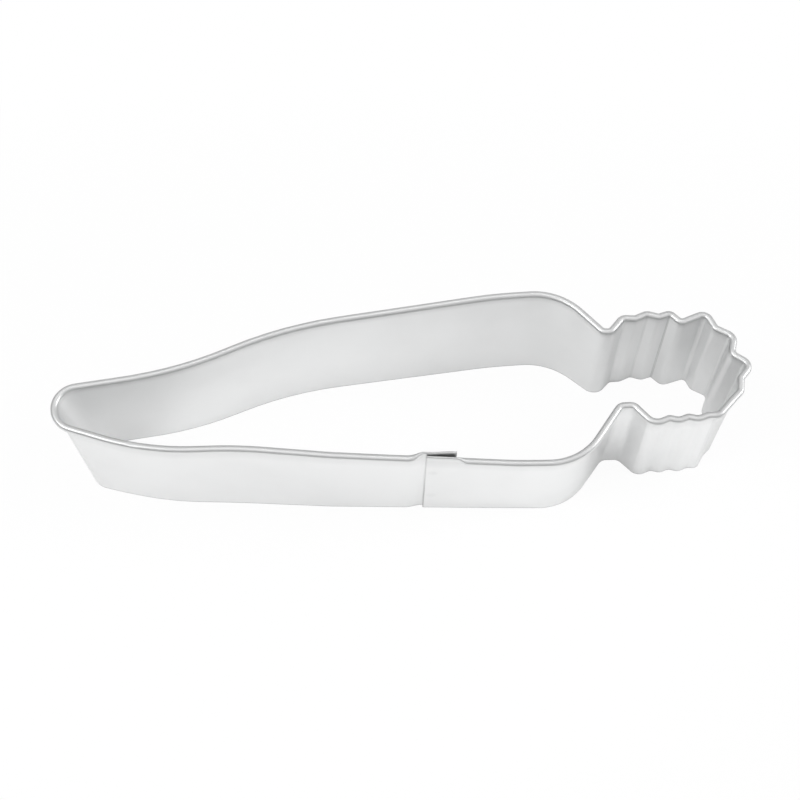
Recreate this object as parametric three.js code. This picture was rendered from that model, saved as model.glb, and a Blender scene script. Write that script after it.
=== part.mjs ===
// Carrot-shaped pastry cutter: one strip of bright tinplate, bent round to the outline of a carrot
// with a crinkled leaf. Its upper edge is rolled outward, its lower edge is the plain cutting edge,
// and its two ends lap on the front flank, where two spot welds hold them together.
// Millimetres. X runs from the tip of the carrot to its leaf, Y from front to back, Z up.
import * as THREE from 'three';

// The strip
const STRIP_HEIGHT = 25.4;
const SHEET = 0.3;
const ROLL_WIDTH = 1.4;
const ROLL_SLIT = 0.12; // left open between the end of the roll and the wall

// The lap: the outer end lies on the outline, and the inner end steps in behind it
const SEAM_FROM_SHOULDER = 16.5; // edge of the outer end, from the first bend of the shoulder
const LAP_LENGTH = 5.4;
const LAP_GAP = 0.2;
const LAP_STEP_RUN = 3; // length of strip over which the inner end steps in
const LAP_STEP_CLEARANCE = 0.35; // from the end of that step to the edge of the outer end
const LAP_ROLL_WIDTH = 0.65; // both rolls are pressed flatter where they pass each other
const LAP_PRESS_RUN = 2; // length of strip over which a roll flattens
const LAP_ROLL_GAP = 0.15; // between the two rolls, at the edge of the outer end
const LAP_SPRING = 0.35; // how much wider that gap is at the edge of the inner end
const LAP_CRANK_HEIGHT = 3.2; // below the roll, where the inner end bends in for its roll

// The spot welds, between the two layers of the lap
const WELD_DIAMETER = 1.6;
const WELD_FROM_EDGE = 1.4;
const LOWER_WELD_HEIGHT = 6.5;
const WELD_PITCH = 11;
const WELD_CLEARANCE = 0.04;

// The carrot's outline, measured along it from the tip and across it from its middle line
const NECK_FROM_TIP = 103;
const FLANK_RADIUS = 80;
const FRONT_SHOULDER_RADIUS = 10.5;
const BACK_SHOULDER_RADIUS = 11;
const NECK_RADIUS = 2;
const HEEL_RADIUS = 2; // where the front of the leaf leaves the neck
const NOSE_RADIUS = 3.7;
const RIDGE_RADIUS = 1; // bends of the leaf that point outward
const CREASE_RADIUS = 0.6; // the sharpest of them
const FURROW_RADIUS = 1.6; // bends of the leaf that point inward
const SCALLOP_COUNT = 3;
const SCALLOP_PITCH = 3.55;
const SCALLOP_DEPTH = 0.5;
const SCALLOP_RISE = 0.15; // from one scallop to the next

// How far the rolled edge stands from the cutting edge, along and across: the wall splays outward
const UPRIGHT = [0, 0];
const FRONT_FLANK_SPLAY = [0, -0.3];
const FRONT_SWELL_SPLAY = [0, -1.65];
const FRONT_SHOULDER_SPLAY = [0, -1.4];
const FRONT_NECK_SPLAY = [0.5, -0.15];
const NECK_LEAF_SPLAY = [0.2, -0.1];
const LEAF_FRONT_SPLAY = [0.1, -0.4];
const LEAF_END_SPLAY = [1.2, 0];
const LEAF_CORNER_SPLAY = [0.4, -0.4];
const LEAF_PEAK_SPLAY = [0.1, 0.2];
const LEAF_BACK_SPLAY = [0.1, -0.2];
const LEAF_HEEL_SPLAY = [0, 0.1];
const BACK_NECK_SPLAY = [-0.35, -0.55];
const BACK_SHOULDER_SPLAY = [-0.2, 1.3];
const FLANK_SPLAY = [0, 0.4];
const TAPER_SPLAY = [0, -0.45];
const FRONT_WAVE_SPLAY = [0, 0.3];
const NOSE_BACK_SPLAY = [-4, -0.9];
const NOSE_FRONT_SPLAY = [-3.6, 1.4];

// Fineness of the facets
const BEND_STEP = THREE.MathUtils.degToRad(13);
const LEAST_BEND_STEPS = 3;
const ROLL_FACETS = 7;
const LAP_FACETS = 4; // along the lap, and along each run beside it
const STRAIGHT = 1e-6; // a smaller turn counts as none
const WELD_FACETS = 24;

const bend = (along, across, radius, splay) => ({
  cut: new THREE.Vector2(along, across),
  rim: new THREE.Vector2(along + splay[0], across + splay[1]),
  radius,
});
const fromNeck = (along, across, radius, splay) => bend(NECK_FROM_TIP + along, across, radius, splay);

// One furrow and one ridge for each scallop along the front of the leaf, ending on a furrow
function scallops(along, across) {
  const bends = [];
  for (let i = 0; i < SCALLOP_COUNT; i += 1) {
    const x = along + i * SCALLOP_PITCH;
    const y = across + i * SCALLOP_RISE;
    bends.push(fromNeck(x, y, FURROW_RADIUS, LEAF_FRONT_SPLAY));
    if (i < SCALLOP_COUNT - 1) {
      bends.push(fromNeck(x + SCALLOP_PITCH / 2, y - SCALLOP_DEPTH, FURROW_RADIUS, LEAF_FRONT_SPLAY));
    }
  }
  return bends;
}

// The strip's bends in order, each with its place on the cutting edge, its radius and its splay:
// along the front from the seam, round the leaf and back to the tip
const BENDS = [
  fromNeck(-19, -11.2, FLANK_RADIUS, FRONT_SWELL_SPLAY),
  fromNeck(-7.9, -11.7, FRONT_SHOULDER_RADIUS, FRONT_SHOULDER_SPLAY),
  fromNeck(-0.45, -1.85, NECK_RADIUS, FRONT_NECK_SPLAY),
  fromNeck(2.85, -1.85, NECK_RADIUS, NECK_LEAF_SPLAY),
  fromNeck(6.2, -5.5, HEEL_RADIUS, LEAF_FRONT_SPLAY),
  ...scallops(8.9, -4.4),
  fromNeck(17.9, -4.1, RIDGE_RADIUS, LEAF_FRONT_SPLAY),
  fromNeck(19.4, -1.7, FURROW_RADIUS, LEAF_END_SPLAY),
  fromNeck(21, -0.1, RIDGE_RADIUS, LEAF_END_SPLAY),
  fromNeck(21.4, 2.6, FURROW_RADIUS, LEAF_END_SPLAY),
  fromNeck(23.4, 4.9, RIDGE_RADIUS, LEAF_END_SPLAY),
  fromNeck(20.2, 7.2, FURROW_RADIUS, LEAF_END_SPLAY),
  fromNeck(21.9, 11.1, RIDGE_RADIUS, LEAF_CORNER_SPLAY),
  fromNeck(18.8, 12.9, FURROW_RADIUS, LEAF_CORNER_SPLAY),
  fromNeck(17.8, 15.3, RIDGE_RADIUS, LEAF_PEAK_SPLAY),
  fromNeck(13.1, 13.9, FURROW_RADIUS, LEAF_BACK_SPLAY),
  fromNeck(11.2, 15.9, CREASE_RADIUS, LEAF_BACK_SPLAY),
  fromNeck(9.2, 15.3, FURROW_RADIUS, LEAF_BACK_SPLAY),
  fromNeck(7, 16, RIDGE_RADIUS, LEAF_BACK_SPLAY),
  fromNeck(4.9, 15.1, FURROW_RADIUS, LEAF_BACK_SPLAY),
  fromNeck(2.7, 15, RIDGE_RADIUS, LEAF_HEEL_SPLAY),
  fromNeck(0.65, 12.85, NECK_RADIUS, BACK_NECK_SPLAY),
  fromNeck(-1.35, 12.95, NECK_RADIUS, BACK_NECK_SPLAY),
  fromNeck(-9, 19.7, BACK_SHOULDER_RADIUS, BACK_SHOULDER_SPLAY),
  fromNeck(-21, 19.2, FLANK_RADIUS, BACK_SHOULDER_SPLAY),
  bend(42.5, 14.9, FLANK_RADIUS, FLANK_SPLAY),
  bend(24, 7.4, FLANK_RADIUS, UPRIGHT),
  bend(14, 6.2, FLANK_RADIUS, TAPER_SPLAY),
  bend(5.6, 5, NOSE_RADIUS, NOSE_BACK_SPLAY),
  bend(4.2, -3.2, NOSE_RADIUS, NOSE_FRONT_SPLAY),
  bend(12, -5.5, FLANK_RADIUS, TAPER_SPLAY),
  bend(20, -7.4, FLANK_RADIUS, TAPER_SPLAY),
  bend(34, -8.2, FLANK_RADIUS, FRONT_WAVE_SPLAY),
  bend(50, -9.6, FLANK_RADIUS, FRONT_FLANK_SPLAY),
];
const SEAM = BENDS[0].cut.x - SEAM_FROM_SHOULDER;

// A place on the straight run of the front flank, between the last bend and the first
function onFlank(along) {
  const before = BENDS.at(-1);
  const after = BENDS[0];
  const share = (along - before.cut.x) / (after.cut.x - before.cut.x);
  return { cut: before.cut.clone().lerp(after.cut, share), rim: before.rim.clone().lerp(after.rim, share) };
}

const heading = (from, to) => Math.atan2(to.y - from.y, to.x - from.x);
const outward = (angle) => new THREE.Vector2(Math.sin(angle), -Math.cos(angle));
const wrapped = (angle) => Math.atan2(Math.sin(angle), Math.cos(angle));
const evenly = (from, to, count) => Array.from(
  { length: count + 1 }, (_, i) => THREE.MathUtils.lerp(from, to, i / count));

// What the lap does to the strip at a station, each from 0 to 1: its step inward, the pressing of its
// roll and the springing apart of the two rolls. Away from the lap it does nothing.
const OPEN = { step: 0, press: 0, spring: 0 };

// One rounded corner of a line: an arc that leaves both straight runs at the same reach from the corner
function roundedCorner(before, corner, after, reach) {
  const start = heading(before, corner);
  const turn = wrapped(heading(corner, after) - start);
  const first = corner.clone().lerp(before, reach / corner.distanceTo(before));
  const last = corner.clone().lerp(after, reach / corner.distanceTo(after));
  const radius = reach / Math.tan(turn / 2);
  const centre = first.clone().addScaledVector(outward(start), -radius);
  const onArc = (share) => centre.clone().addScaledVector(outward(start + turn * share), radius);
  const onLine = (share) => first.clone().lerp(last, share);
  const at = Math.abs(turn) < STRAIGHT ? onLine : onArc;
  return { at, headingAt: (share) => start + turn * share };
}

const around = (i) => [BENDS.at(i - 1), BENDS[i], BENDS[(i + 1) % BENDS.length]];

// The larger of the turns that the cutting edge and the rim take at a bend
function turnAt(i) {
  const [before, here, after] = around(i);
  return Math.max(...['cut', 'rim'].map((line) => Math.abs(wrapped(
    heading(here[line], after[line]) - heading(before[line], here[line])))));
}

// How far a bend reaches along its straight runs: two bends that would meet share the run between them
function reachAt(i) {
  const wanted = (k) => BENDS.at(k).radius * Math.tan(turnAt((k + BENDS.length) % BENDS.length) / 2);
  const fitted = [i - 1, (i + 1) % BENDS.length].map((k) => {
    const run = Math.min(...['cut', 'rim'].map((line) => BENDS.at(k)[line].distanceTo(BENDS[i][line])));
    return wanted(i) * Math.min(1, run / (wanted(i) + wanted(k)));
  });
  return Math.min(...fitted);
}

// The stations of one bend: points of the cutting edge and of the rim, with the wall's headings there
function bendStations(i) {
  const [before, here, after] = around(i);
  const reach = reachAt(i);
  const cut = roundedCorner(before.cut, here.cut, after.cut, reach);
  const rim = roundedCorner(before.rim, here.rim, after.rim, reach);
  const steps = Math.max(LEAST_BEND_STEPS, Math.ceil(turnAt(i) / BEND_STEP));
  return evenly(0, 1, steps).map((share) => ({
    cut: cut.at(share),
    rim: rim.at(share),
    cutHeading: cut.headingAt(share),
    rimHeading: rim.headingAt(share),
    ...OPEN,
  }));
}

// A station on the flank's straight run, with what the lap does to the strip there
function flankStation(along, lap) {
  const [from, to] = [onFlank(0), onFlank(1)];
  return {
    ...onFlank(along),
    cutHeading: heading(from.cut, to.cut),
    rimHeading: heading(from.rim, to.rim),
    ...lap,
  };
}

// The strip's stations in order: the outer end, every bend round the carrot, and the inner end
function stripStations() {
  const { smoothstep } = THREE.MathUtils;
  const lapEnd = SEAM + LAP_LENGTH;
  const stepEnd = SEAM - LAP_STEP_CLEARANCE;
  const lap = evenly(SEAM, lapEnd, LAP_FACETS);
  const opening = evenly(lapEnd, lapEnd + LAP_PRESS_RUN, LAP_FACETS).slice(1);
  const steppingIn = evenly(stepEnd - LAP_STEP_RUN, stepEnd - LAP_PRESS_RUN, LAP_FACETS).slice(0, -1);
  const flattening = evenly(stepEnd - LAP_PRESS_RUN, stepEnd, LAP_FACETS);
  const outerEnd = [...lap, ...opening].map((along) => flankStation(along, {
    ...OPEN,
    press: 1 - smoothstep(along, lapEnd, lapEnd + LAP_PRESS_RUN),
  }));
  const innerEnd = [...steppingIn, ...flattening, ...lap].map((along) => flankStation(along, {
    step: smoothstep(along, stepEnd - LAP_STEP_RUN, stepEnd),
    press: smoothstep(along, stepEnd - LAP_PRESS_RUN, stepEnd),
    spring: smoothstep(along, SEAM, lapEnd),
  }));
  return [...outerEnd, ...BENDS.flatMap((_, i) => bendStations(i)), ...innerEnd];
}

// Section of the strip, as offsets from the middle of the wall and heights: up the inner face,
// over the roll, back along the inside of the roll and down the outer face
function stripSection(rollWidth) {
  const half = SHEET / 2;
  const reach = (rollWidth - SHEET) / 2;
  const rise = (ROLL_WIDTH - SHEET) / 2;
  const rollHeight = STRIP_HEIGHT - ROLL_WIDTH / 2;
  const crankHeight = rollHeight - LAP_CRANK_HEIGHT;
  const lastAngle = -Math.acos((half + ROLL_SLIT - reach) / (reach + half));
  const roll = (share, side) => {
    const angle = THREE.MathUtils.lerp(Math.PI, lastAngle, share);
    return new THREE.Vector2(
      reach + (reach + side) * Math.cos(angle),
      rollHeight + (rise + side) * Math.sin(angle),
    );
  };
  const shares = evenly(0, 1, ROLL_FACETS);
  return [
    new THREE.Vector2(-half, 0),
    new THREE.Vector2(-half, crankHeight),
    ...shares.map((share) => roll(share, half)),
    ...shares.map((share) => roll(1 - share, -half)),
    new THREE.Vector2(half, crankHeight),
    new THREE.Vector2(half, 0),
  ];
}

// How far the wall lies inside the outline at a station of the lap's inner end, at a height
function lapOffset(station, height) {
  const low = SHEET + LAP_GAP;
  const high = LAP_ROLL_WIDTH + LAP_ROLL_GAP + LAP_SPRING * station.spring;
  const top = STRIP_HEIGHT - ROLL_WIDTH / 2;
  const crank = THREE.MathUtils.clamp((height - top) / LAP_CRANK_HEIGHT + 1, 0, 1);
  return station.step * THREE.MathUtils.lerp(low, high, crank);
}

// A point of the wall at a station: the ruled surface from cutting edge to rim, set out by an offset
function wallPoint(station, offset, height) {
  const share = height / STRIP_HEIGHT;
  const turn = wrapped(station.rimHeading - station.cutHeading);
  const out = outward(station.cutHeading + turn * share);
  const place = station.cut.clone().lerp(station.rim, share);
  place.addScaledVector(out, offset - lapOffset(station, height));
  return new THREE.Vector3(place.x, place.y, height);
}

// A closed solid through rings of points that all have the same count, capped like the section
function loft(rings, section) {
  const count = rings[0].length;
  const index = [];
  for (let i = 0; i + 1 < rings.length; i += 1) {
    for (let j = 0; j < count; j += 1) {
      const a = i * count + j;
      const b = i * count + (j + 1) % count;
      index.push(a, b, a + count, b, b + count, a + count);
    }
  }
  const last = (rings.length - 1) * count;
  for (const [a, b, c] of THREE.ShapeUtils.triangulateShape(section, [])) {
    index.push(a, b, c, last + a, last + c, last + b);
  }
  const geometry = new THREE.BufferGeometry().setFromPoints(rings.flat());
  geometry.setIndex(index);
  geometry.computeVertexNormals();
  return geometry;
}

const tinplate = new THREE.MeshStandardMaterial({ color: 0xd6d8da, roughness: 0.24, metalness: 1 });
const fusedTin = new THREE.MeshStandardMaterial({ color: 0xa9acae, roughness: 0.5, metalness: 1 });

function cutterStrip() {
  const rollAt = (station) => THREE.MathUtils.lerp(ROLL_WIDTH, LAP_ROLL_WIDTH, station.press);
  const rings = stripStations().map((station) => stripSection(rollAt(station))
    .map(({ x, y }) => wallPoint(station, x, y)));
  const mesh = new THREE.Mesh(loft(rings, stripSection(LAP_ROLL_WIDTH)), tinplate);
  mesh.name = 'cutter_strip';
  return mesh;
}

// A weld nugget: a disc that fills the gap of the lap, square to the leaning wall
function spotWeld(name, height) {
  const station = flankStation(SEAM + WELD_FROM_EDGE, OPEN);
  const middle = -(SHEET + LAP_GAP) / 2;
  const up = wallPoint(station, middle, STRIP_HEIGHT).sub(wallPoint(station, middle, 0)).normalize();
  const along = new THREE.Vector3(Math.cos(station.cutHeading), Math.sin(station.cutHeading), 0);
  const disc = new THREE.CylinderGeometry(
    WELD_DIAMETER / 2, WELD_DIAMETER / 2, LAP_GAP - 2 * WELD_CLEARANCE, WELD_FACETS);
  const mesh = new THREE.Mesh(disc, fusedTin);
  mesh.quaternion.setFromUnitVectors(new THREE.Vector3(0, 1, 0), along.cross(up).normalize());
  mesh.position.copy(wallPoint(station, middle, height));
  mesh.name = name;
  return mesh;
}

// The cutter stands on its cutting edge, with the origin under the middle of its outline
const cutter = new THREE.Group();
cutter.add(cutterStrip());
cutter.add(spotWeld('lower_spot_weld', LOWER_WELD_HEIGHT));
cutter.add(spotWeld('upper_spot_weld', LOWER_WELD_HEIGHT + WELD_PITCH));
const middle = new THREE.Box3().setFromObject(cutter).getCenter(new THREE.Vector3());
cutter.position.set(-middle.x, -middle.y, 0);

export default cutter;
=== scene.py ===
# %% [markdown]
# # A carrot-shaped cookie cutter
# The real object is one strip of bright tinplate, bent by hand to the outline of a carrot with a
# crinkled leaf. Its upper edge is rolled outward so that it doesn't hurt the palm, its lower edge is
# left plain to cut dough, and its two ends lap on the front flank, where two spot welds hold them.
# The packed model is loaded first. It is the fixed frame: everything made below fits it, in metres.

# %% Load the frame
import math
from collections import namedtuple

import bpy
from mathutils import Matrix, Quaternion, Vector, noise


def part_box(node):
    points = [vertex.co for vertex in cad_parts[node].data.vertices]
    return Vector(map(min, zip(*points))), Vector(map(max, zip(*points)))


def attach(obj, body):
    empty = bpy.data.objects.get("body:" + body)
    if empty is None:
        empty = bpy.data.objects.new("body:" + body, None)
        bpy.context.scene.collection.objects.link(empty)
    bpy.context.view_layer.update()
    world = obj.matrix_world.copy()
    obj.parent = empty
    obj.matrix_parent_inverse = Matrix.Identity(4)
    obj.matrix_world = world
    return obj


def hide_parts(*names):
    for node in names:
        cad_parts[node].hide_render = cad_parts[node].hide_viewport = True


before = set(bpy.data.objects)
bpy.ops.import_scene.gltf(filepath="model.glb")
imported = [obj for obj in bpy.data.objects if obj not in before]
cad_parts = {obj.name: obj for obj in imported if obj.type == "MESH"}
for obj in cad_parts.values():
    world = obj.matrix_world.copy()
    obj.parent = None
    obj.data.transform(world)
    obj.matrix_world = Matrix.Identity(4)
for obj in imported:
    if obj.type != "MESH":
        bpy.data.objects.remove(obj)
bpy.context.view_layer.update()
print("frame nodes:", sorted(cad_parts))

# %% [markdown]
# ## The camera
# The photograph looks steeply down on the cutter from its seam side, with a long lens. A camera can be
# set by hand in the viewport, but three facts fix it better: where it stands, the point on the table
# that it looks at, and how far it is tipped about its own axis.

# %% Place the camera
CAMERA_PLACE = Vector((-0.01343, -0.15736, 0.33397))
CAMERA_AIM = Vector((0.00013, 0.0086, 0.0))
CAMERA_ROLL = math.radians(2.28)
CAMERA_LENS = 85.41  # millimetres, on Blender's sensor of 36

scene = bpy.context.scene
camera = bpy.data.objects.new("camera", bpy.data.cameras.new("camera"))
scene.collection.objects.link(camera)
camera.data.lens = CAMERA_LENS
camera.data.clip_start = 0.01
camera.location = CAMERA_PLACE
camera.rotation_mode = "QUATERNION"
sight = CAMERA_AIM - CAMERA_PLACE
camera.rotation_quaternion = sight.to_track_quat("-Z", "Y") @ Quaternion((0, 0, 1), CAMERA_ROLL)
scene.camera = camera
print(f"camera {sight.length * 1000:.0f} mm from the table")

# %% [markdown]
# ## The outline
# A cutter maker draws the outline as straight runs with a bend between each two, so it is kept here in
# that way: each bend has its place on the cutting edge, its radius, and its splay, which is how far the
# rolled rim stands from the cutting edge there. A traced curve of many points would be harder to read
# and to change. The drawing is in millimetres, along the carrot from its tip and across it from its
# middle line, in the order that the strip runs: from the seam along the front, round the leaf and back.

# %% Draw the bends
MM = 0.001
NECK_FROM_TIP = 103.0
FLANK_RADIUS = 80.0
FRONT_SHOULDER_RADIUS = 10.5
BACK_SHOULDER_RADIUS = 11.0
NECK_RADIUS = 2.0
HEEL_RADIUS = 2.0
NOSE_RADIUS = 3.7
RIDGE_RADIUS = 1.0
CREASE_RADIUS = 0.6
FURROW_RADIUS = 1.6
SCALLOP_COUNT = 3
SCALLOP_PITCH = 3.55
SCALLOP_DEPTH = 0.5
SCALLOP_RISE = 0.15

UPRIGHT = (0, 0)
FRONT_FLANK_SPLAY = (0, -0.3)
FRONT_SWELL_SPLAY = (0, -1.65)
FRONT_SHOULDER_SPLAY = (0, -1.4)
FRONT_NECK_SPLAY = (0.5, -0.15)
NECK_LEAF_SPLAY = (0.2, -0.1)
LEAF_FRONT_SPLAY = (0.1, -0.4)
LEAF_END_SPLAY = (1.2, 0)
LEAF_CORNER_SPLAY = (0.4, -0.4)
LEAF_PEAK_SPLAY = (0.1, 0.2)
LEAF_BACK_SPLAY = (0.1, -0.2)
LEAF_HEEL_SPLAY = (0, 0.1)
BACK_NECK_SPLAY = (-0.35, -0.55)
BACK_SHOULDER_SPLAY = (-0.2, 1.3)
FLANK_SPLAY = (0, 0.4)
TAPER_SPLAY = (0, -0.45)
FRONT_WAVE_SPLAY = (0, 0.3)
NOSE_BACK_SPLAY = (-4, -0.9)
NOSE_FRONT_SPLAY = (-3.6, 1.4)

Bend = namedtuple("Bend", "cut rim radius")


def bend(along, across, radius, splay):
    cut = Vector((along, across)) * MM
    return Bend(cut, cut + Vector(splay) * MM, radius * MM)


def from_neck(along, across, radius, splay):
    return bend(NECK_FROM_TIP + along, across, radius, splay)


def scallops(along, across):
    """A furrow and a ridge for each scallop along the front of the leaf, ending on a furrow."""
    made = []
    for i in range(SCALLOP_COUNT):
        x, y = along + i * SCALLOP_PITCH, across + i * SCALLOP_RISE
        made.append(from_neck(x, y, FURROW_RADIUS, LEAF_FRONT_SPLAY))
        if i + 1 < SCALLOP_COUNT:
            x, y = x + SCALLOP_PITCH / 2, y - SCALLOP_DEPTH
            made.append(from_neck(x, y, FURROW_RADIUS, LEAF_FRONT_SPLAY))
    return made


BENDS = [
    from_neck(-19, -11.2, FLANK_RADIUS, FRONT_SWELL_SPLAY),
    from_neck(-7.9, -11.7, FRONT_SHOULDER_RADIUS, FRONT_SHOULDER_SPLAY),
    from_neck(-0.45, -1.85, NECK_RADIUS, FRONT_NECK_SPLAY),
    from_neck(2.85, -1.85, NECK_RADIUS, NECK_LEAF_SPLAY),
    from_neck(6.2, -5.5, HEEL_RADIUS, LEAF_FRONT_SPLAY),
    *scallops(8.9, -4.4),
    from_neck(17.9, -4.1, RIDGE_RADIUS, LEAF_FRONT_SPLAY),
    from_neck(19.4, -1.7, FURROW_RADIUS, LEAF_END_SPLAY),
    from_neck(21, -0.1, RIDGE_RADIUS, LEAF_END_SPLAY),
    from_neck(21.4, 2.6, FURROW_RADIUS, LEAF_END_SPLAY),
    from_neck(23.4, 4.9, RIDGE_RADIUS, LEAF_END_SPLAY),
    from_neck(20.2, 7.2, FURROW_RADIUS, LEAF_END_SPLAY),
    from_neck(21.9, 11.1, RIDGE_RADIUS, LEAF_CORNER_SPLAY),
    from_neck(18.8, 12.9, FURROW_RADIUS, LEAF_CORNER_SPLAY),
    from_neck(17.8, 15.3, RIDGE_RADIUS, LEAF_PEAK_SPLAY),
    from_neck(13.1, 13.9, FURROW_RADIUS, LEAF_BACK_SPLAY),
    from_neck(11.2, 15.9, CREASE_RADIUS, LEAF_BACK_SPLAY),
    from_neck(9.2, 15.3, FURROW_RADIUS, LEAF_BACK_SPLAY),
    from_neck(7, 16, RIDGE_RADIUS, LEAF_BACK_SPLAY),
    from_neck(4.9, 15.1, FURROW_RADIUS, LEAF_BACK_SPLAY),
    from_neck(2.7, 15, RIDGE_RADIUS, LEAF_HEEL_SPLAY),
    from_neck(0.65, 12.85, NECK_RADIUS, BACK_NECK_SPLAY),
    from_neck(-1.35, 12.95, NECK_RADIUS, BACK_NECK_SPLAY),
    from_neck(-9, 19.7, BACK_SHOULDER_RADIUS, BACK_SHOULDER_SPLAY),
    from_neck(-21, 19.2, FLANK_RADIUS, BACK_SHOULDER_SPLAY),
    bend(42.5, 14.9, FLANK_RADIUS, FLANK_SPLAY),
    bend(24, 7.4, FLANK_RADIUS, UPRIGHT),
    bend(14, 6.2, FLANK_RADIUS, TAPER_SPLAY),
    bend(5.6, 5, NOSE_RADIUS, NOSE_BACK_SPLAY),
    bend(4.2, -3.2, NOSE_RADIUS, NOSE_FRONT_SPLAY),
    bend(12, -5.5, FLANK_RADIUS, TAPER_SPLAY),
    bend(20, -7.4, FLANK_RADIUS, TAPER_SPLAY),
    bend(34, -8.2, FLANK_RADIUS, FRONT_WAVE_SPLAY),
    bend(50, -9.6, FLANK_RADIUS, FRONT_FLANK_SPLAY),
]
print(len(BENDS), "bends")

# %% [markdown]
# ## Rounding the bends
# Each bend becomes an arc. The cutting edge and the rim have slightly different corners, so both are
# rounded with the same reach along their runs, and the wall between them stays a ruled surface, as a
# sheet that was bent over a former does. Where two bends would meet, they share the run between them.

# %% Round the bends into stations
BEND_STEP = math.radians(4)
LEAST_BEND_STEPS = 6
STRAIGHT = 1e-6

Station = namedtuple("Station", "cut rim cut_heading rim_heading step press spring")


def heading(start, end):
    return math.atan2(end.y - start.y, end.x - start.x)


def wrapped(angle):
    return math.atan2(math.sin(angle), math.cos(angle))


def outward(angle):
    return Vector((math.sin(angle), -math.cos(angle)))


def evenly(start, end, count):
    return [start + (end - start) * i / count for i in range(count + 1)]


def around(i):
    return BENDS[i - 1], BENDS[i], BENDS[(i + 1) % len(BENDS)]


def turn_of(before, corner, after):
    return wrapped(heading(corner, after) - heading(before, corner))


def turn_at(i):
    before, here, after = around(i)
    cut_turn = turn_of(before.cut, here.cut, after.cut)
    return max(abs(cut_turn), abs(turn_of(before.rim, here.rim, after.rim)))


def reach_at(i):
    """How far a bend reaches along its runs, sharing a run with the bend at its other end."""
    wanted = BENDS[i].radius * math.tan(turn_at(i) / 2)
    reaches = []
    for k in (i - 1, (i + 1) % len(BENDS)):
        other = BENDS[k].radius * math.tan(turn_at(k) / 2)
        cut_run = (BENDS[k].cut - BENDS[i].cut).length
        run = min(cut_run, (BENDS[k].rim - BENDS[i].rim).length)
        reaches.append(wanted * min(1, run / (wanted + other)))
    return min(reaches)


def rounded(before, corner, after, reach, share):
    """A point of the arc at a corner, a share of the way round it, and the heading there."""
    start, turn = heading(before, corner), turn_of(before, corner, after)
    first = corner.lerp(before, reach / (before - corner).length)
    last = corner.lerp(after, reach / (after - corner).length)
    if abs(turn) < STRAIGHT:
        return first.lerp(last, share), start
    radius = reach / math.tan(turn / 2)
    centre = first - outward(start) * radius
    return centre + outward(start + turn * share) * radius, start + turn * share


def bend_stations(i):
    before, here, after = around(i)
    reach = reach_at(i)
    steps = max(LEAST_BEND_STEPS, math.ceil(turn_at(i) / BEND_STEP))
    made = []
    for share in evenly(0, 1, steps):
        cut, cut_heading = rounded(before.cut, here.cut, after.cut, reach, share)
        rim, rim_heading = rounded(before.rim, here.rim, after.rim, reach, share)
        made.append(Station(cut, rim, cut_heading, rim_heading, 0, 0, 0))
    return made


bend_rows = [bend_stations(i) for i in range(len(BENDS))]
print(sum(map(len, bend_rows)), "stations on the bends")

# %% [markdown]
# ## The lap
# The ends of the strip lap for a few millimetres on the front flank. The outer end, which comes round
# from the leaf, lies on the outline. The inner end steps in behind it. Both rolls are pressed flat there
# so that they pass each other, and the inner one springs away a little towards its free edge, which
# leaves the dark slit that shows from above.

# %% Add the stations of the lap
SEAM_FROM_SHOULDER = 16.5 * MM
LAP_LENGTH = 5.4 * MM
LAP_GAP = 0.2 * MM
LAP_STEP_RUN = 3 * MM
LAP_STEP_CLEARANCE = 0.35 * MM
LAP_PRESS_RUN = 2 * MM
LAP_STATIONS = 22
SIDE_STATIONS = 10
RUN_STATION = 1.2 * MM

SEAM = BENDS[0].cut.x - SEAM_FROM_SHOULDER
LAP_END = SEAM + LAP_LENGTH
STEP_END = SEAM - LAP_STEP_CLEARANCE


def smoothly(value, start, end):
    share = min(1, max(0, (value - start) / (end - start)))
    return share * share * (3 - 2 * share)


def flank_station(along, step, press, spring):
    """A station on the straight run of the front flank, between the last bend and the first."""
    before, after = BENDS[-1], BENDS[0]
    share = (along - before.cut.x) / (after.cut.x - before.cut.x)
    cut_heading, rim_heading = heading(before.cut, after.cut), heading(before.rim, after.rim)
    cut, rim = before.cut.lerp(after.cut, share), before.rim.lerp(after.rim, share)
    return Station(cut, rim, cut_heading, rim_heading, step, press, spring)


def outer_end():
    places = evenly(SEAM, LAP_END, LAP_STATIONS)
    places += evenly(LAP_END, LAP_END + LAP_PRESS_RUN, SIDE_STATIONS)[1:]
    presses = [1 - smoothly(place, LAP_END, LAP_END + LAP_PRESS_RUN) for place in places]
    return [flank_station(place, 0, press, 0) for place, press in zip(places, presses)]


def inner_end():
    places = evenly(STEP_END - LAP_STEP_RUN, STEP_END - LAP_PRESS_RUN, SIDE_STATIONS)[:-1]
    places += evenly(STEP_END - LAP_PRESS_RUN, STEP_END, SIDE_STATIONS)
    places += evenly(SEAM, LAP_END, LAP_STATIONS)
    return [
        flank_station(
            place,
            smoothly(place, STEP_END - LAP_STEP_RUN, STEP_END),
            smoothly(place, STEP_END - LAP_PRESS_RUN, STEP_END),
            smoothly(place, SEAM, LAP_END),
        )
        for place in places
    ]


def with_runs(rows):
    """All the stations in one list, with more of them along the straight runs between the rows."""
    made = list(rows[0])
    for row in rows[1:]:
        a, b = made[-1], row[0]
        count = max(1, round((b.cut - a.cut).length / RUN_STATION))
        for share in evenly(0, 1, count)[1:-1]:
            cut, rim = a.cut.lerp(b.cut, share), a.rim.lerp(b.rim, share)
            made.append(b._replace(cut=cut, rim=rim, step=0, press=0, spring=0))
        made += row
    return made


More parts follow.
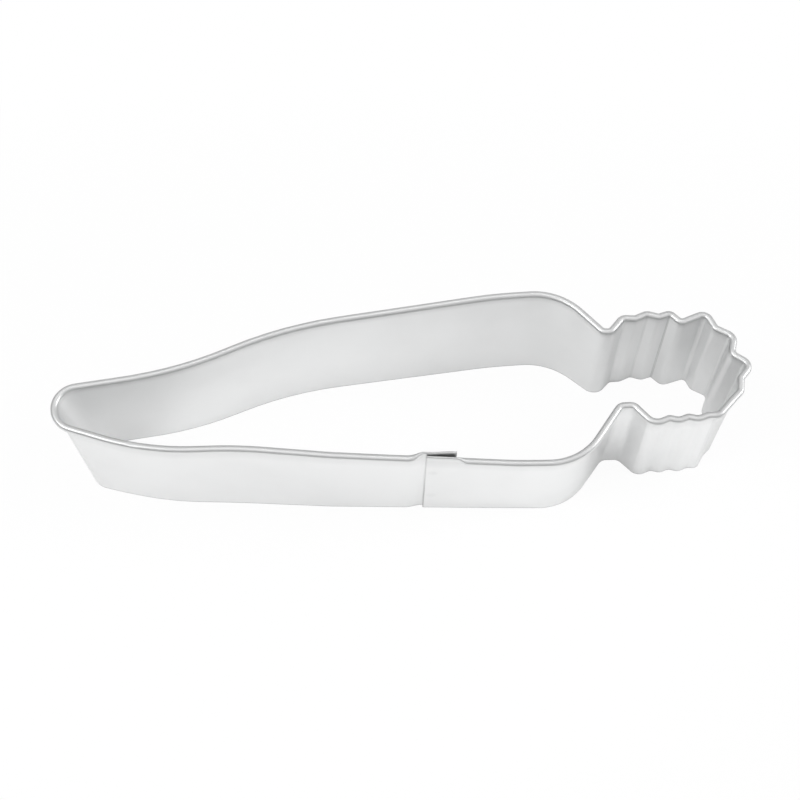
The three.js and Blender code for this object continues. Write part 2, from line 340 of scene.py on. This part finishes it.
stations = with_runs([outer_end(), *bend_rows, inner_end()])
lengths = [0.0]
for a, b in zip(stations, stations[1:]):
    lengths.append(lengths[-1] + ((a.cut + a.rim) / 2 - (b.cut + b.rim) / 2).length)
print(f"{len(stations)} stations, a strip {lengths[-1] * 1000:.0f} mm long")

# %% [markdown]
# ## The section of the strip
# Across the strip there is a plain wall and, on top, a roll: the sheet curls outward and down until it
# nearly meets the wall again. The section is listed up the inner face, over the roll and back down the
# outer face. Points that face each other through the sheet have mirrored places in the list, so the two
# ends of the strip can be closed with quads. The cutting edge has a tiny bevel, because a sheared edge
# is never sharp enough to shade as a line.

# %% Draw the section
STRIP_HEIGHT = 25.4 * MM
SHEET = 0.3 * MM
ROLL_WIDTH = 1.4 * MM
ROLL_SLIT = 0.12 * MM
EDGE_BEVEL = 0.06 * MM
LAP_ROLL_WIDTH = 0.65 * MM
LAP_ROLL_GAP = 0.15 * MM
LAP_SPRING = 0.35 * MM
LAP_CRANK_HEIGHT = 3.2 * MM
ROLL_STEPS = 22

WELD_DIAMETER = 1.6 * MM
WELD_FROM_EDGE = 1.4 * MM
WELD_HEIGHTS = (6.5 * MM, 17.5 * MM)
DIMPLE_ROWS = 12
WALL_ROW = 1.5 * MM

ROLL_HEIGHT = STRIP_HEIGHT - ROLL_WIDTH / 2


def wall_heights():
    """Heights of the wall's rows, closer together where the welds leave their dimples."""
    rows = {EDGE_BEVEL}
    for height in WELD_HEIGHTS:
        rows.update(evenly(height - WELD_DIAMETER, height + WELD_DIAMETER, DIMPLE_ROWS))
    open_rows = evenly(EDGE_BEVEL, ROLL_HEIGHT, round(ROLL_HEIGHT / WALL_ROW))[1:-1]
    rows.update(z for z in open_rows if all(abs(z - w) > WELD_DIAMETER for w in WELD_HEIGHTS))
    return sorted(rows)


WALL_HEIGHTS = wall_heights()


def strip_section(roll_width):
    """(offset from the middle of the wall, height) of each point of the section."""
    half, reach = SHEET / 2, (roll_width - SHEET) / 2
    rise = (ROLL_WIDTH - SHEET) / 2
    last_angle = -math.acos((half + ROLL_SLIT - reach) / (reach + half))

    def roll(side):
        angles = evenly(math.pi, last_angle, ROLL_STEPS)
        return [
            (reach + (reach + side) * math.cos(angle), ROLL_HEIGHT + (rise + side) * math.sin(angle))
            for angle in angles
        ]

    up = [(EDGE_BEVEL - half, 0), *((-half, z) for z in WALL_HEIGHTS), *roll(half)]
    down = [(half - EDGE_BEVEL, 0), *((half, z) for z in WALL_HEIGHTS), *roll(-half)]
    return up + down[::-1]


section = strip_section(ROLL_WIDTH)
print(len(section), "points round the section")

# %% [markdown]
# ## Lofting the strip
# A ring of the section is set at every station and the rings are joined with quads. Blender's own curve
# bevel could sweep the section, but it can't splay the wall, press the roll or step the end in. A few
# hundredths of a millimetre of waviness are added to the wall: sheet that was bent by hand is never
# quite flat, and that is what makes its reflections run. Each weld leaves a shallow dimple on both sides of
# the lap.

# %% Loft the rings
WAVE_DEPTH = 0.06 * MM
WAVE_LENGTH = 17 * MM
WAVE_START = (LAP_LENGTH, 3 * LAP_LENGTH)  # from either end, where the waviness begins and is full
DIMPLE_DEPTH = 0.03 * MM
DIMPLE_FLOOR = 0.35  # share of a weld's radius that is pressed flat


def lap_offset(station, height):
    """How far the wall of the inner end lies inside the outline, at a height."""
    low = SHEET + LAP_GAP
    high = LAP_ROLL_WIDTH + LAP_ROLL_GAP + LAP_SPRING * station.spring
    crank = smoothly(height, ROLL_HEIGHT - LAP_CRANK_HEIGHT, ROLL_HEIGHT)
    return station.step * (low + (high - low) * crank)


def waviness(length, height):
    """Unevenness of the wall, which fades out towards the lap."""
    share = smoothly(min(length, lengths[-1] - length), *WAVE_START)
    return WAVE_DEPTH * share * noise.noise(Vector((length, height, 0)) / WAVE_LENGTH)


def weld_distance(length, height):
    """Distance from the nearest weld, in weld radii, on either end of the strip."""
    on_outer_end = WELD_FROM_EDGE
    on_inner_end = lengths[-1] - (LAP_LENGTH - WELD_FROM_EDGE)
    along = min(abs(length - on_outer_end), abs(length - on_inner_end))
    return min(math.hypot(along, height - z) for z in WELD_HEIGHTS) / (WELD_DIAMETER / 2)


def dimple(station, length, offset, height):
    """A weld presses the outer face of the outer end and the inner face of the inner end."""
    pressed_face = offset < 0 if station.step else offset > 0
    deep = 1 - smoothly(weld_distance(length, height), DIMPLE_FLOOR, 1)
    return -math.copysign(DIMPLE_DEPTH * deep, offset) if pressed_face else 0.0


def wall_point(station, length, offset, height):
    share = height / STRIP_HEIGHT
    turn = wrapped(station.rim_heading - station.cut_heading)
    out = outward(station.cut_heading + turn * share)
    moved = offset - lap_offset(station, height) + waviness(length, height)
    if height < ROLL_HEIGHT - LAP_CRANK_HEIGHT:
        moved += dimple(station, length, offset, height)
    place = station.cut.lerp(station.rim, share) + out * moved
    return Vector((place.x, place.y, height))


def ring(station, length):
    width = ROLL_WIDTH + (LAP_ROLL_WIDTH - ROLL_WIDTH) * station.press
    return [wall_point(station, length, offset, height) for offset, height in strip_section(width)]


def sheet_places(points):
    """Distance of each section point from the cutting edge, measured along the sheet."""
    half = len(points) // 2
    run = [0.0]
    for a, b in zip(points[:half], points[1:half]):
        run.append(run[-1] + math.dist(a, b))
    return run + run[::-1]


rings = [ring(station, length) for station, length in zip(stations, lengths)]
count = len(section)
last = (len(rings) - 1) * count
quads = []
for i in range(len(rings) - 1):
    for j in range(count):
        a, b = i * count + j, i * count + (j + 1) % count
        quads.append((a, b, b + count, a + count))
for j in range(count // 2 - 1):
    a, b, c, d = j, j + 1, count - 2 - j, count - 1 - j
    quads += [(d, c, b, a), (last + a, last + b, last + c, last + d)]
print(len(rings) * count, "points,", len(quads), "quads")

# %% [markdown]
# ## The strip as an object
# The points are moved so that the new strip's box has its middle over the middle of the CAD strip, which
# it stands for. Smooth shading runs over the bends and the roll, and breaks at the sheared edges.

# %% Make the strip
SHARP_ANGLE = math.radians(32)

cut_low, cut_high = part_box("cutter_strip")
points = [point for one in rings for point in one]
middle = [(min(p[k] for p in points) + max(p[k] for p in points)) / 2 for k in (0, 1)]
shift = Vector(((cut_low.x + cut_high.x) / 2 - middle[0], (cut_low.y + cut_high.y) / 2 - middle[1], 0))

mesh = bpy.data.meshes.new("tinplate_strip")
mesh.from_pydata([point + shift for point in points], [], quads)
mesh.validate()
mesh.shade_smooth()
mesh.set_sharp_from_angle(angle=SHARP_ANGLE)
strip = bpy.data.objects.new("tinplate_strip", mesh)
scene.collection.objects.link(strip)
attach(strip, "root")
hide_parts("cutter_strip")
print("strip moved by", [round(part * 1000, 2) for part in shift], "mm to the frame")

# %% [markdown]
# ## Values for the finish
# A finish that follows the strip must know more than where a point lies in space. Three values are kept on
# the points as attributes, which a shader reads back by name: the place on the strip (along it, across it
# and through the sheet), how hard the sheet is bent there, and how near a weld is.

# %% Keep the values that the finish needs
BEND_FULL = 95  # degrees of turn to a millimetre of strip that count as a full crease
WELD_HEAT = (0.5, 1.6)  # in weld radii, how far a weld's full heat and its last heat reach

across = sheet_places(section)
places = [(length, run, offset) for length in lengths for run, (offset, _) in zip(across, section)]
mesh.attributes.new("strip_place", "FLOAT_VECTOR", "POINT")
mesh.attributes["strip_place"].data.foreach_set("vector", [part for place in places for part in place])


def bending(i):
    """How hard the strip is bent at a station, from 0 to 1."""
    before, after = max(i - 1, 0), min(i + 1, len(stations) - 1)
    turn = abs(wrapped(stations[after].cut_heading - stations[before].cut_heading))
    run = lengths[after] - lengths[before]
    return min(1.0, math.degrees(turn) / (run / MM) / BEND_FULL)


creases = [bending(i) for i in range(len(stations)) for _ in section]
mesh.attributes.new("crease", "FLOAT", "POINT")
mesh.attributes["crease"].data.foreach_set("value", creases)

heats = [
    1 - smoothly(weld_distance(length, height), *WELD_HEAT)
    for length in lengths
    for _, height in section
]
mesh.attributes.new("weld_heat", "FLOAT", "POINT")
mesh.attributes["weld_heat"].data.foreach_set("value", heats)
print(f"hardest bend {max(creases):.2f}, hottest point {max(heats):.2f}")

# %% [markdown]
# ## Writing shader maths
# A material is a tree of nodes. To keep it readable, one small class wraps a socket, so that arithmetic
# on it reads as arithmetic and adds Math nodes. Every other node comes from its one method, which takes
# the node's type, its settings and its sockets.


# %% Wrap a socket
class Wire:
    """An output socket in a node tree. Arithmetic on it adds Math nodes."""

    def __init__(self, tree, socket=None):
        self.tree, self.socket = tree, socket

    def node(self, kind, settings=None, sockets=None, output=0):
        """Adds a node, sets it, feeds its sockets with values or wires, and gives one output."""
        made = self.tree.nodes.new(kind)
        for name, value in (settings or {}).items():
            setattr(made, name, value)
        for name, value in (sockets or {}).items():
            if isinstance(value, Wire):
                self.tree.links.new(value.socket, made.inputs[name])
            else:
                made.inputs[name].default_value = value
        return Wire(self.tree, made.outputs[output] if made.outputs else None)

    def math(self, operation, *values):
        return self.node("ShaderNodeMath", {"operation": operation}, dict(enumerate(values)))

    def __add__(self, other):
        return self.math("ADD", self, other)

    def __sub__(self, other):
        return self.math("SUBTRACT", self, other)

    def __rsub__(self, other):
        return self.math("SUBTRACT", other, self)

    def __mul__(self, other):
        return self.math("MULTIPLY", self, other)

    __radd__ = __add__
    __rmul__ = __mul__


def new_tree(owner):
    """An empty node tree of a material or world, as a wire to add nodes to."""
    owner.use_nodes = True
    owner.node_tree.nodes.clear()
    return Wire(owner.node_tree)


def grey(level):
    return (level, level, level, 1.0)


print("operators:", ", ".join(name for name in vars(Wire) if name.startswith("__")))

# %% [markdown]
# ## Bright tinplate
# Tinplate is steel with a thin coat of tin: a bright grey without a tint, which mirrors softly. The mill
# leaves fine streaks along the strip and handling leaves hazy patches and scuffs. The tin is drawn darker
# where the strip is bent hard and is dull round a weld. Painted shade darkens the roll, which a tool folded
# over, and the top of the wall under it, and a painted shadow of the roll lies on the outer face below it.
# At the cutting edge bare steel shows, and on the cut ends bare steel with a painted shadow of the seam's
# gap, stronger low down. All of it reads the values on the points, so that the streaks follow the strip.

# %% Mix the tinplate
TIN = (0.895, 0.9, 0.9, 1)
WORN_AND_SHADED_TIN = (0.7, 0.705, 0.705, 1)
BARE_STEEL = (0.46, 0.46, 0.46, 1)
STREAK_LENGTH = 9 * MM
STREAK_WIDTH = 0.16 * MM
STREAK_DETAIL = 3.0
STREAK_BUMP = 0.0002 * MM
HAZE_SIZE = 14 * MM
HAZE_DETAIL = 2.0
HAZE_LEVELS = (0.42, 0.7)  # of the noise, where the haze begins and is full
SCUFF_SIZE = 2.5 * MM
SCUFF_DETAIL = 1.0
SCUFF_LEVELS = (0.68, 0.74)
CREASE_LEVELS = (0.45, 1.0)  # a gentle bend leaves no mark
SHEARED_EDGE = 0.12 * MM
SEAM_SHADOW_HEIGHTS = (9 * MM, 15 * MM)  # painted shadow of the seam's gap on the cut ends, full below the first height
SEAM_SHADOW_LOST_ABOVE = 0.6  # share of that painted shadow which is lost above them
ROLL_SHADE_HEIGHTS = (ROLL_HEIGHT - 1.2 * MM, ROLL_HEIGHT)  # painted shade from here up: the top of the wall and the roll
ROLL_SHADOW_HEIGHTS = (ROLL_HEIGHT - 5 * MM, ROLL_HEIGHT - 2 * MM)  # and a painted shadow of the roll on the outer face below it

# How much of the darker colour each mark brings, painted shade on and under the roll among them
# the tin is drawn darker where the strip is bent hard
CREASE_DARKENING = 0.9
HAZE_WEAR = 0.1
HEAT_WEAR = 0.2
SCUFF_WEAR = 0.06
# painted shade on the roll and a painted shadow under it
ROLL_SHADE_SHARE = 0.45
# the cut ends: bare steel, deepened by a painted shadow of the seam's gap
END_STEEL_AND_SHADOW = 0.7

# Roughness of clean tin, and what each mark adds to it
CLEAN_ROUGHNESS = 0.33
STREAK_ROUGHNESS = 0.06
HAZE_ROUGHNESS = 0.03
CREASE_ROUGHNESS = 0.05
HEAT_ROUGHNESS = 0.06
EDGE_ROUGHNESS = 0.15


def noise_at(tree, vector, detail):
    sockets = {"Vector": vector, "Scale": 1.0, "Detail": detail}
    return tree.node("ShaderNodeTexNoise", {}, sockets)


def strip_noise(tree, place, length, width, detail):
    """Noise on the strip, with patches of the given length along it and width across it."""
    steps = (1 / length, 1 / width, 1 / SHEET)
    vector = tree.node("ShaderNodeVectorMath", {"operation": "MULTIPLY"}, {0: place, 1: steps})
    return noise_at(tree, vector, detail)


def mixed(tree, share, first, second):
    """One colour mixed into another; a colour Mix node's own sockets are 6 and 7, its output 2."""
    return tree.node("ShaderNodeMix", {"data_type": "RGBA"}, {0: share, 6: first, 7: second}, 2)


def ramp(tree, value, low, high):
    """0 below low and 1 above high, with a straight line between."""
    sockets = {0: value, 1: low, 2: high, 3: 0.0, 4: 1.0}
    return tree.node("ShaderNodeMapRange", {"clamp": True}, sockets)


def roll_shade_mask(tree, run, through):
    """1 where painted shade darkens the roll and the wall's top, and where the roll's painted shadow lies
    on the outer face.
    """
    outer = ramp(tree, through, 0.0, SHEET / 2)
    return tree.math("MAXIMUM", ramp(tree, run, *ROLL_SHADE_HEIGHTS), ramp(tree, run, *ROLL_SHADOW_HEIGHTS) * outer)


def steel_and_seam_shadow_mask(tree, along, run):
    """Bare steel all along the cutting edge, and on the two cut ends bare steel with a painted shadow of
    the seam's gap.
    """
    cutting_edge = 1 - ramp(tree, run, SHEARED_EDGE, 3 * SHEARED_EDGE)
    from_end = tree.math("MINIMUM", along, lengths[-1] - along)
    cut_end = 1 - ramp(tree, from_end, SHEARED_EDGE, 2 * SHEARED_EDGE)
    # painted shadow of the seam's gap, full low down and weaker above
    seam_shadow = 1 - ramp(tree, run, *SEAM_SHADOW_HEIGHTS) * SEAM_SHADOW_LOST_ABOVE
    return tree.math("MAXIMUM", cutting_edge, cut_end * seam_shadow * END_STEEL_AND_SHADOW)


def tinplate():
    material = bpy.data.materials.new("bright_tinplate")
    tree = new_tree(material)
    place = tree.node("ShaderNodeAttribute", {"attribute_name": "strip_place"}, {}, 1)
    crease = tree.node("ShaderNodeAttribute", {"attribute_name": "crease"}, {}, 2)
    heat = tree.node("ShaderNodeAttribute", {"attribute_name": "weld_heat"}, {}, 2)
    along, run, through = (tree.node("ShaderNodeSeparateXYZ", {}, {0: place}, axis) for axis in "XYZ")

    streak = strip_noise(tree, place, STREAK_LENGTH, STREAK_WIDTH, STREAK_DETAIL)
    haze = ramp(tree, strip_noise(tree, place, HAZE_SIZE, HAZE_SIZE, HAZE_DETAIL), *HAZE_LEVELS)
    scuff = ramp(tree, strip_noise(tree, place, SCUFF_SIZE, STREAK_WIDTH, SCUFF_DETAIL), *SCUFF_LEVELS)
    roll_shade = roll_shade_mask(tree, run, through)
    edge = steel_and_seam_shadow_mask(tree, along, run)

    # Hard bends, haze, weld heat and scuffs darken the tin, and painted shade darkens the roll and the
    # outer face under it.
    wear_and_shade = ramp(tree, crease, *CREASE_LEVELS) * CREASE_DARKENING + haze * HAZE_WEAR + heat * HEAT_WEAR
    wear_and_shade = wear_and_shade + scuff * SCUFF_WEAR + roll_shade * ROLL_SHADE_SHARE
    colour = mixed(tree, wear_and_shade, TIN, WORN_AND_SHADED_TIN)
    # bare steel at the cutting edge; on the cut ends also a painted shadow of the seam's gap
    colour = mixed(tree, edge, colour, BARE_STEEL)
    roughness = CLEAN_ROUGHNESS + streak * STREAK_ROUGHNESS + haze * HAZE_ROUGHNESS
    roughness = roughness + crease * CREASE_ROUGHNESS + heat * HEAT_ROUGHNESS + edge * EDGE_ROUGHNESS
    bump = tree.node("ShaderNodeBump", {}, {"Strength": 1.0, "Distance": STREAK_BUMP, "Height": streak})
    surface = tree.node(
        "ShaderNodeBsdfPrincipled",
        {},
        {"Base Color": colour, "Metallic": 1.0, "Roughness": roughness, "Normal": bump},
    )
    tree.node("ShaderNodeOutputMaterial", {}, {"Surface": surface})
    return material


mesh.materials.append(tinplate())
print("tinplate nodes:", len(mesh.materials[0].node_tree.nodes))

# %% [markdown]
# ## The weld nuggets
# Where a weld was made, the two layers fused into a small dull disc. The discs lie between the layers of
# the lap, where only their rims could be seen, so their CAD solids stay and only get a finish: dark,
# rough metal with the grain of a casting.

# %% Finish the welds
FUSED = (0.52, 0.52, 0.53, 1)
FUSED_DARK = (0.30, 0.29, 0.28, 1)
GRAIN_SIZE = 0.18 * MM
GRAIN_DETAIL = 4.0
GRAIN_BUMP = 0.01 * MM
FUSED_ROUGHNESS = 0.35
GRAIN_ROUGHNESS = 0.3
WELDS = ("lower_spot_weld", "upper_spot_weld")


def fused_tin():
    material = bpy.data.materials.new("fused_tin")
    tree = new_tree(material)
    place = tree.node("ShaderNodeTexCoord", {}, {}, "Object")
    steps = {0: place, 3: 1 / GRAIN_SIZE}
    grain = noise_at(tree, tree.node("ShaderNodeVectorMath", {"operation": "SCALE"}, steps), GRAIN_DETAIL)
    colour = mixed(tree, grain, FUSED_DARK, FUSED)
    roughness = FUSED_ROUGHNESS + grain * GRAIN_ROUGHNESS
    bump = tree.node("ShaderNodeBump", {}, {"Strength": 1.0, "Distance": GRAIN_BUMP, "Height": grain})
    surface = tree.node(
        "ShaderNodeBsdfPrincipled",
        {},
        {"Base Color": colour, "Metallic": 1.0, "Roughness": roughness, "Normal": bump},
    )
    tree.node("ShaderNodeOutputMaterial", {}, {"Surface": surface})
    return material


weld_finish = fused_tin()
for name in WELDS:
    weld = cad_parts[name]
    weld.data.materials.clear()
    weld.data.materials.append(weld_finish)
print("finished:", ", ".join(WELDS))

# %% [markdown]
# ## A white studio
# Bright metal is a picture of its surroundings, so these are most of its look. The cutter stands on white
# paper that fades into a grey table, under a soft white sky. The camera sees table and sky as nearly plain
# white and the reflections see a share of that white, but the paper still takes the cutter's shadow. A grey
# wall round the table, which the camera doesn't see, darkens both sides of the roll and leaves a light line
# along its top. It is lighter on one side, as a room with a window is.

# %% Build the table, the wall and the sky
TABLE_SIZE = 4.0
TABLE_DROP = 0.05 * MM
PAPER_MIDDLE = (-25 * MM, -35 * MM, 0)  # towards the front left, so that the back mirrors greyer table
PAPER_SHAPE = (0.45, 1, 0)  # the paper under the cutter is longer than wide
PAPER_EDGE = (32 * MM, 120 * MM)  # across it from the middle, where the fading begins and ends
PAPER_WHITE = grey(0.93)
TABLE_GREY = grey(0.5)
WALL_RADIUS = 0.9
WALL_TOP = 0.75
WALL_SIDES = 64
LIT_DIRECTION = (0.8, 0.6, 0)  # the wall gets lighter towards the right and the back
DIM_SIDE = grey(0.5)
LIT_SIDE = grey(0.84)
SEEN_WHITE = 0.94  # share of plain white in what the camera sees of the paper, the rest takes shadow
MIRRORED_WHITE = 0.32  # the same share in reflections
SKY = 0.5  # strength of the light from the sky
MIRRORED_SKY = 0.5  # share of plain white in the sky's reflections


def seen(tree, camera_share, mirror_share):
    """How much of a surface a ray sees as plain white, by the kind of ray."""
    paths = ("Is Camera Ray", "Is Glossy Ray", "Is Transmission Ray")
    camera_ray, glossy, transmission = (tree.node("ShaderNodeLightPath", {}, {}, name) for name in paths)
    total = camera_ray * camera_share + glossy * mirror_share + transmission * camera_share
    return tree.math("MINIMUM", total, 1.0)


def stage_mesh(name, points, faces, material):
    made = bpy.data.meshes.new(name)
    made.from_pydata(points, [], faces)
    made.materials.append(material)
    piece = bpy.data.objects.new(name, made)
    scene.collection.objects.link(piece)
    return piece


def table_white():
    material = bpy.data.materials.new("table_white")
    tree = new_tree(material)
    place = tree.node("ShaderNodeTexCoord", {}, {}, "Object")
    moved = tree.node("ShaderNodeVectorMath", {"operation": "SUBTRACT"}, {0: place, 1: PAPER_MIDDLE})
    flat = tree.node("ShaderNodeVectorMath", {"operation": "MULTIPLY"}, {0: moved, 1: PAPER_SHAPE})
    from_middle = tree.node("ShaderNodeVectorMath", {"operation": "LENGTH"}, {0: flat}, "Value")
    off_paper = ramp(tree, from_middle, *PAPER_EDGE)
    paper = tree.node("ShaderNodeBsdfDiffuse", {}, {"Color": PAPER_WHITE})
    bare_table = tree.node("ShaderNodeBsdfDiffuse", {}, {"Color": TABLE_GREY})
    matt = tree.node("ShaderNodeMixShader", {}, {0: off_paper, 1: paper, 2: bare_table})
    white = tree.node("ShaderNodeEmission", {}, {"Color": grey(1.0), "Strength": 1.0})
    seen_white = SEEN_WHITE + off_paper * (1 - SEEN_WHITE)
    share = seen(tree, seen_white, MIRRORED_WHITE * (1 - off_paper))
    surface = tree.node("ShaderNodeMixShader", {}, {0: share, 1: matt, 2: white})
    tree.node("ShaderNodeOutputMaterial", {}, {"Surface": surface})
    return material


def wall_grey():
    material = bpy.data.materials.new("wall_grey")
    tree = new_tree(material)
    place = tree.node("ShaderNodeTexCoord", {}, {}, "Object")
    sockets = {0: place, 1: LIT_DIRECTION}
    towards = tree.node("ShaderNodeVectorMath", {"operation": "DOT_PRODUCT"}, sockets, "Value")
    lit = ramp(tree, towards, -WALL_RADIUS, WALL_RADIUS)
    dim_paint = tree.node("ShaderNodeBsdfDiffuse", {}, {"Color": DIM_SIDE})
    lit_paint = tree.node("ShaderNodeBsdfDiffuse", {}, {"Color": LIT_SIDE})
    surface = tree.node("ShaderNodeMixShader", {}, {0: lit, 1: dim_paint, 2: lit_paint})
    tree.node("ShaderNodeOutputMaterial", {}, {"Surface": surface})
    return material


half = TABLE_SIZE / 2
corners = [(-half, -half), (half, -half), (half, half), (-half, half)]
table = stage_mesh("table", [(x, y, -TABLE_DROP) for x, y in corners], [(0, 1, 2, 3)], table_white())

angles = evenly(0, 2 * math.pi, WALL_SIDES)[:-1]
circle = [(WALL_RADIUS * math.cos(angle), WALL_RADIUS * math.sin(angle)) for angle in angles]
wall_points = [(x, y, z) for z in (0.0, WALL_TOP) for x, y in circle]
following = [(i + 1) % WALL_SIDES for i in range(WALL_SIDES)]
wall_faces = [(i, k, k + WALL_SIDES, i + WALL_SIDES) for i, k in enumerate(following)]
wall = stage_mesh("studio_wall", wall_points, wall_faces, wall_grey())
wall.visible_camera = False

scene.world = bpy.data.worlds.new("studio_sky")
sky = new_tree(scene.world)
dim = sky.node("ShaderNodeBackground", {}, {"Color": grey(1.0), "Strength": SKY})
white = sky.node("ShaderNodeBackground", {}, {"Color": grey(1.0), "Strength": 1.0})
share = seen(sky, 1.0, MIRRORED_SKY)
background = sky.node("ShaderNodeMixShader", {}, {0: share, 1: dim, 2: white})
sky.node("ShaderNodeOutputWorld", {}, {"Surface": background})
print("stage:", table.name, wall.name, scene.world.name)

# %% [markdown]
# ## The lamps
# Two large soft boxes light the table from the right and the left. Mirrored in the roll they would make
# broad white bands, so the metal doesn't see them. It sees a small bright core in the middle of each, which
# lays a thin line along the slopes of the roll that face it. A third small lamp, high up, draws the fine
# line along the top of the level stretches.

# %% Stand the soft boxes
RIGHT_PLACE = Vector((0.72, 0.02, 0.42))
RIGHT_SIZE = 0.5
RIGHT_POWER = 1.5
LEFT_PLACE = Vector((-0.52, -0.16, 0.8))
LEFT_SIZE = 0.6
LEFT_POWER = 2.8
CORE_SIZE = 0.2
CORE_POWER = 1.8
TOP_PLACE = Vector((0.05, 0.15, 0.9))
TOP_SIZE = 0.14
TOP_POWER = 0.2


def soft_box(name, place, size, power):
    lamp = bpy.data.objects.new(name, bpy.data.lights.new(name, "AREA"))
    scene.collection.objects.link(lamp)
    lamp.data.shape = "SQUARE"
    lamp.data.size = size
    lamp.data.energy = power
    lamp.location = place
    lamp.rotation_mode = "QUATERNION"
    lamp.rotation_quaternion = (-place).to_track_quat("-Z", "Y")
    print(f"{name}: {power} W, {place.length:.2f} m away")
    return lamp


for side, place, size, power in (
    ("right", RIGHT_PLACE, RIGHT_SIZE, RIGHT_POWER),
    ("left", LEFT_PLACE, LEFT_SIZE, LEFT_POWER),
):
    soft_box(side + "_box", place, size, power).visible_glossy = False
    soft_box(side + "_core", place, CORE_SIZE, CORE_POWER)
soft_box("top_core", TOP_PLACE, TOP_SIZE, TOP_POWER)
scene.view_settings.view_transform = "Standard"

# %% [markdown]
